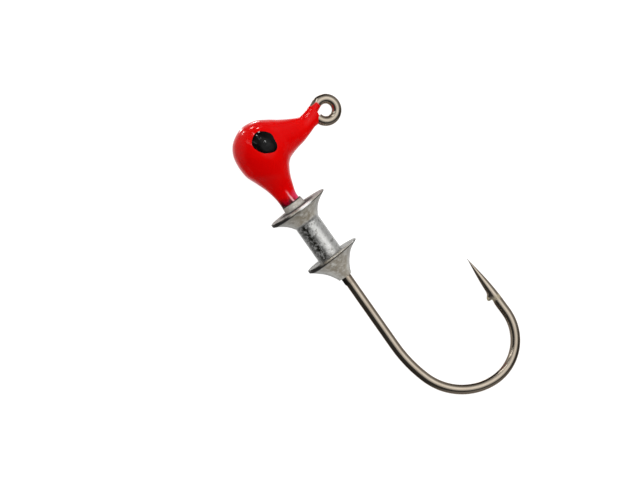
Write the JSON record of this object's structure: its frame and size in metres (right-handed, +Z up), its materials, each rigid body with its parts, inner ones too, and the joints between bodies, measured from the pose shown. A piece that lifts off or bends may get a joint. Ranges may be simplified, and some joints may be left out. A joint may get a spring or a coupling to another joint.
{
  "type": "jig head",
  "caption": "Round fishing jig head: painted lead ball with domed eyes, a collared bait keeper, and a barbed jig hook with a line tie at right angles to the shank.",
  "frame": {"origin": "on the table, under the middle of the jig head's bounding box, with the jig lying on its right side", "axes": "+X along the shank from the head to the hook's bend, +Y from the shank towards the hook's point, +Z up"},
  "size_m": [0.0414, 0.017, 0.0072],
  "materials": {
    "hook_wire": "polished dark nickel with a bronze tint",
    "cast_lead": "satin, as cast",
    "red_paint": "high gloss",
    "black_enamel": "high gloss"
  },
  "bodies": {
    "root": {"hook": "hook_wire", "lead_casting": "cast_lead", "paint_coat": "red_paint", "eye_left": "black_enamel", "eye_right": "black_enamel"}
  },
  "joints": []
}
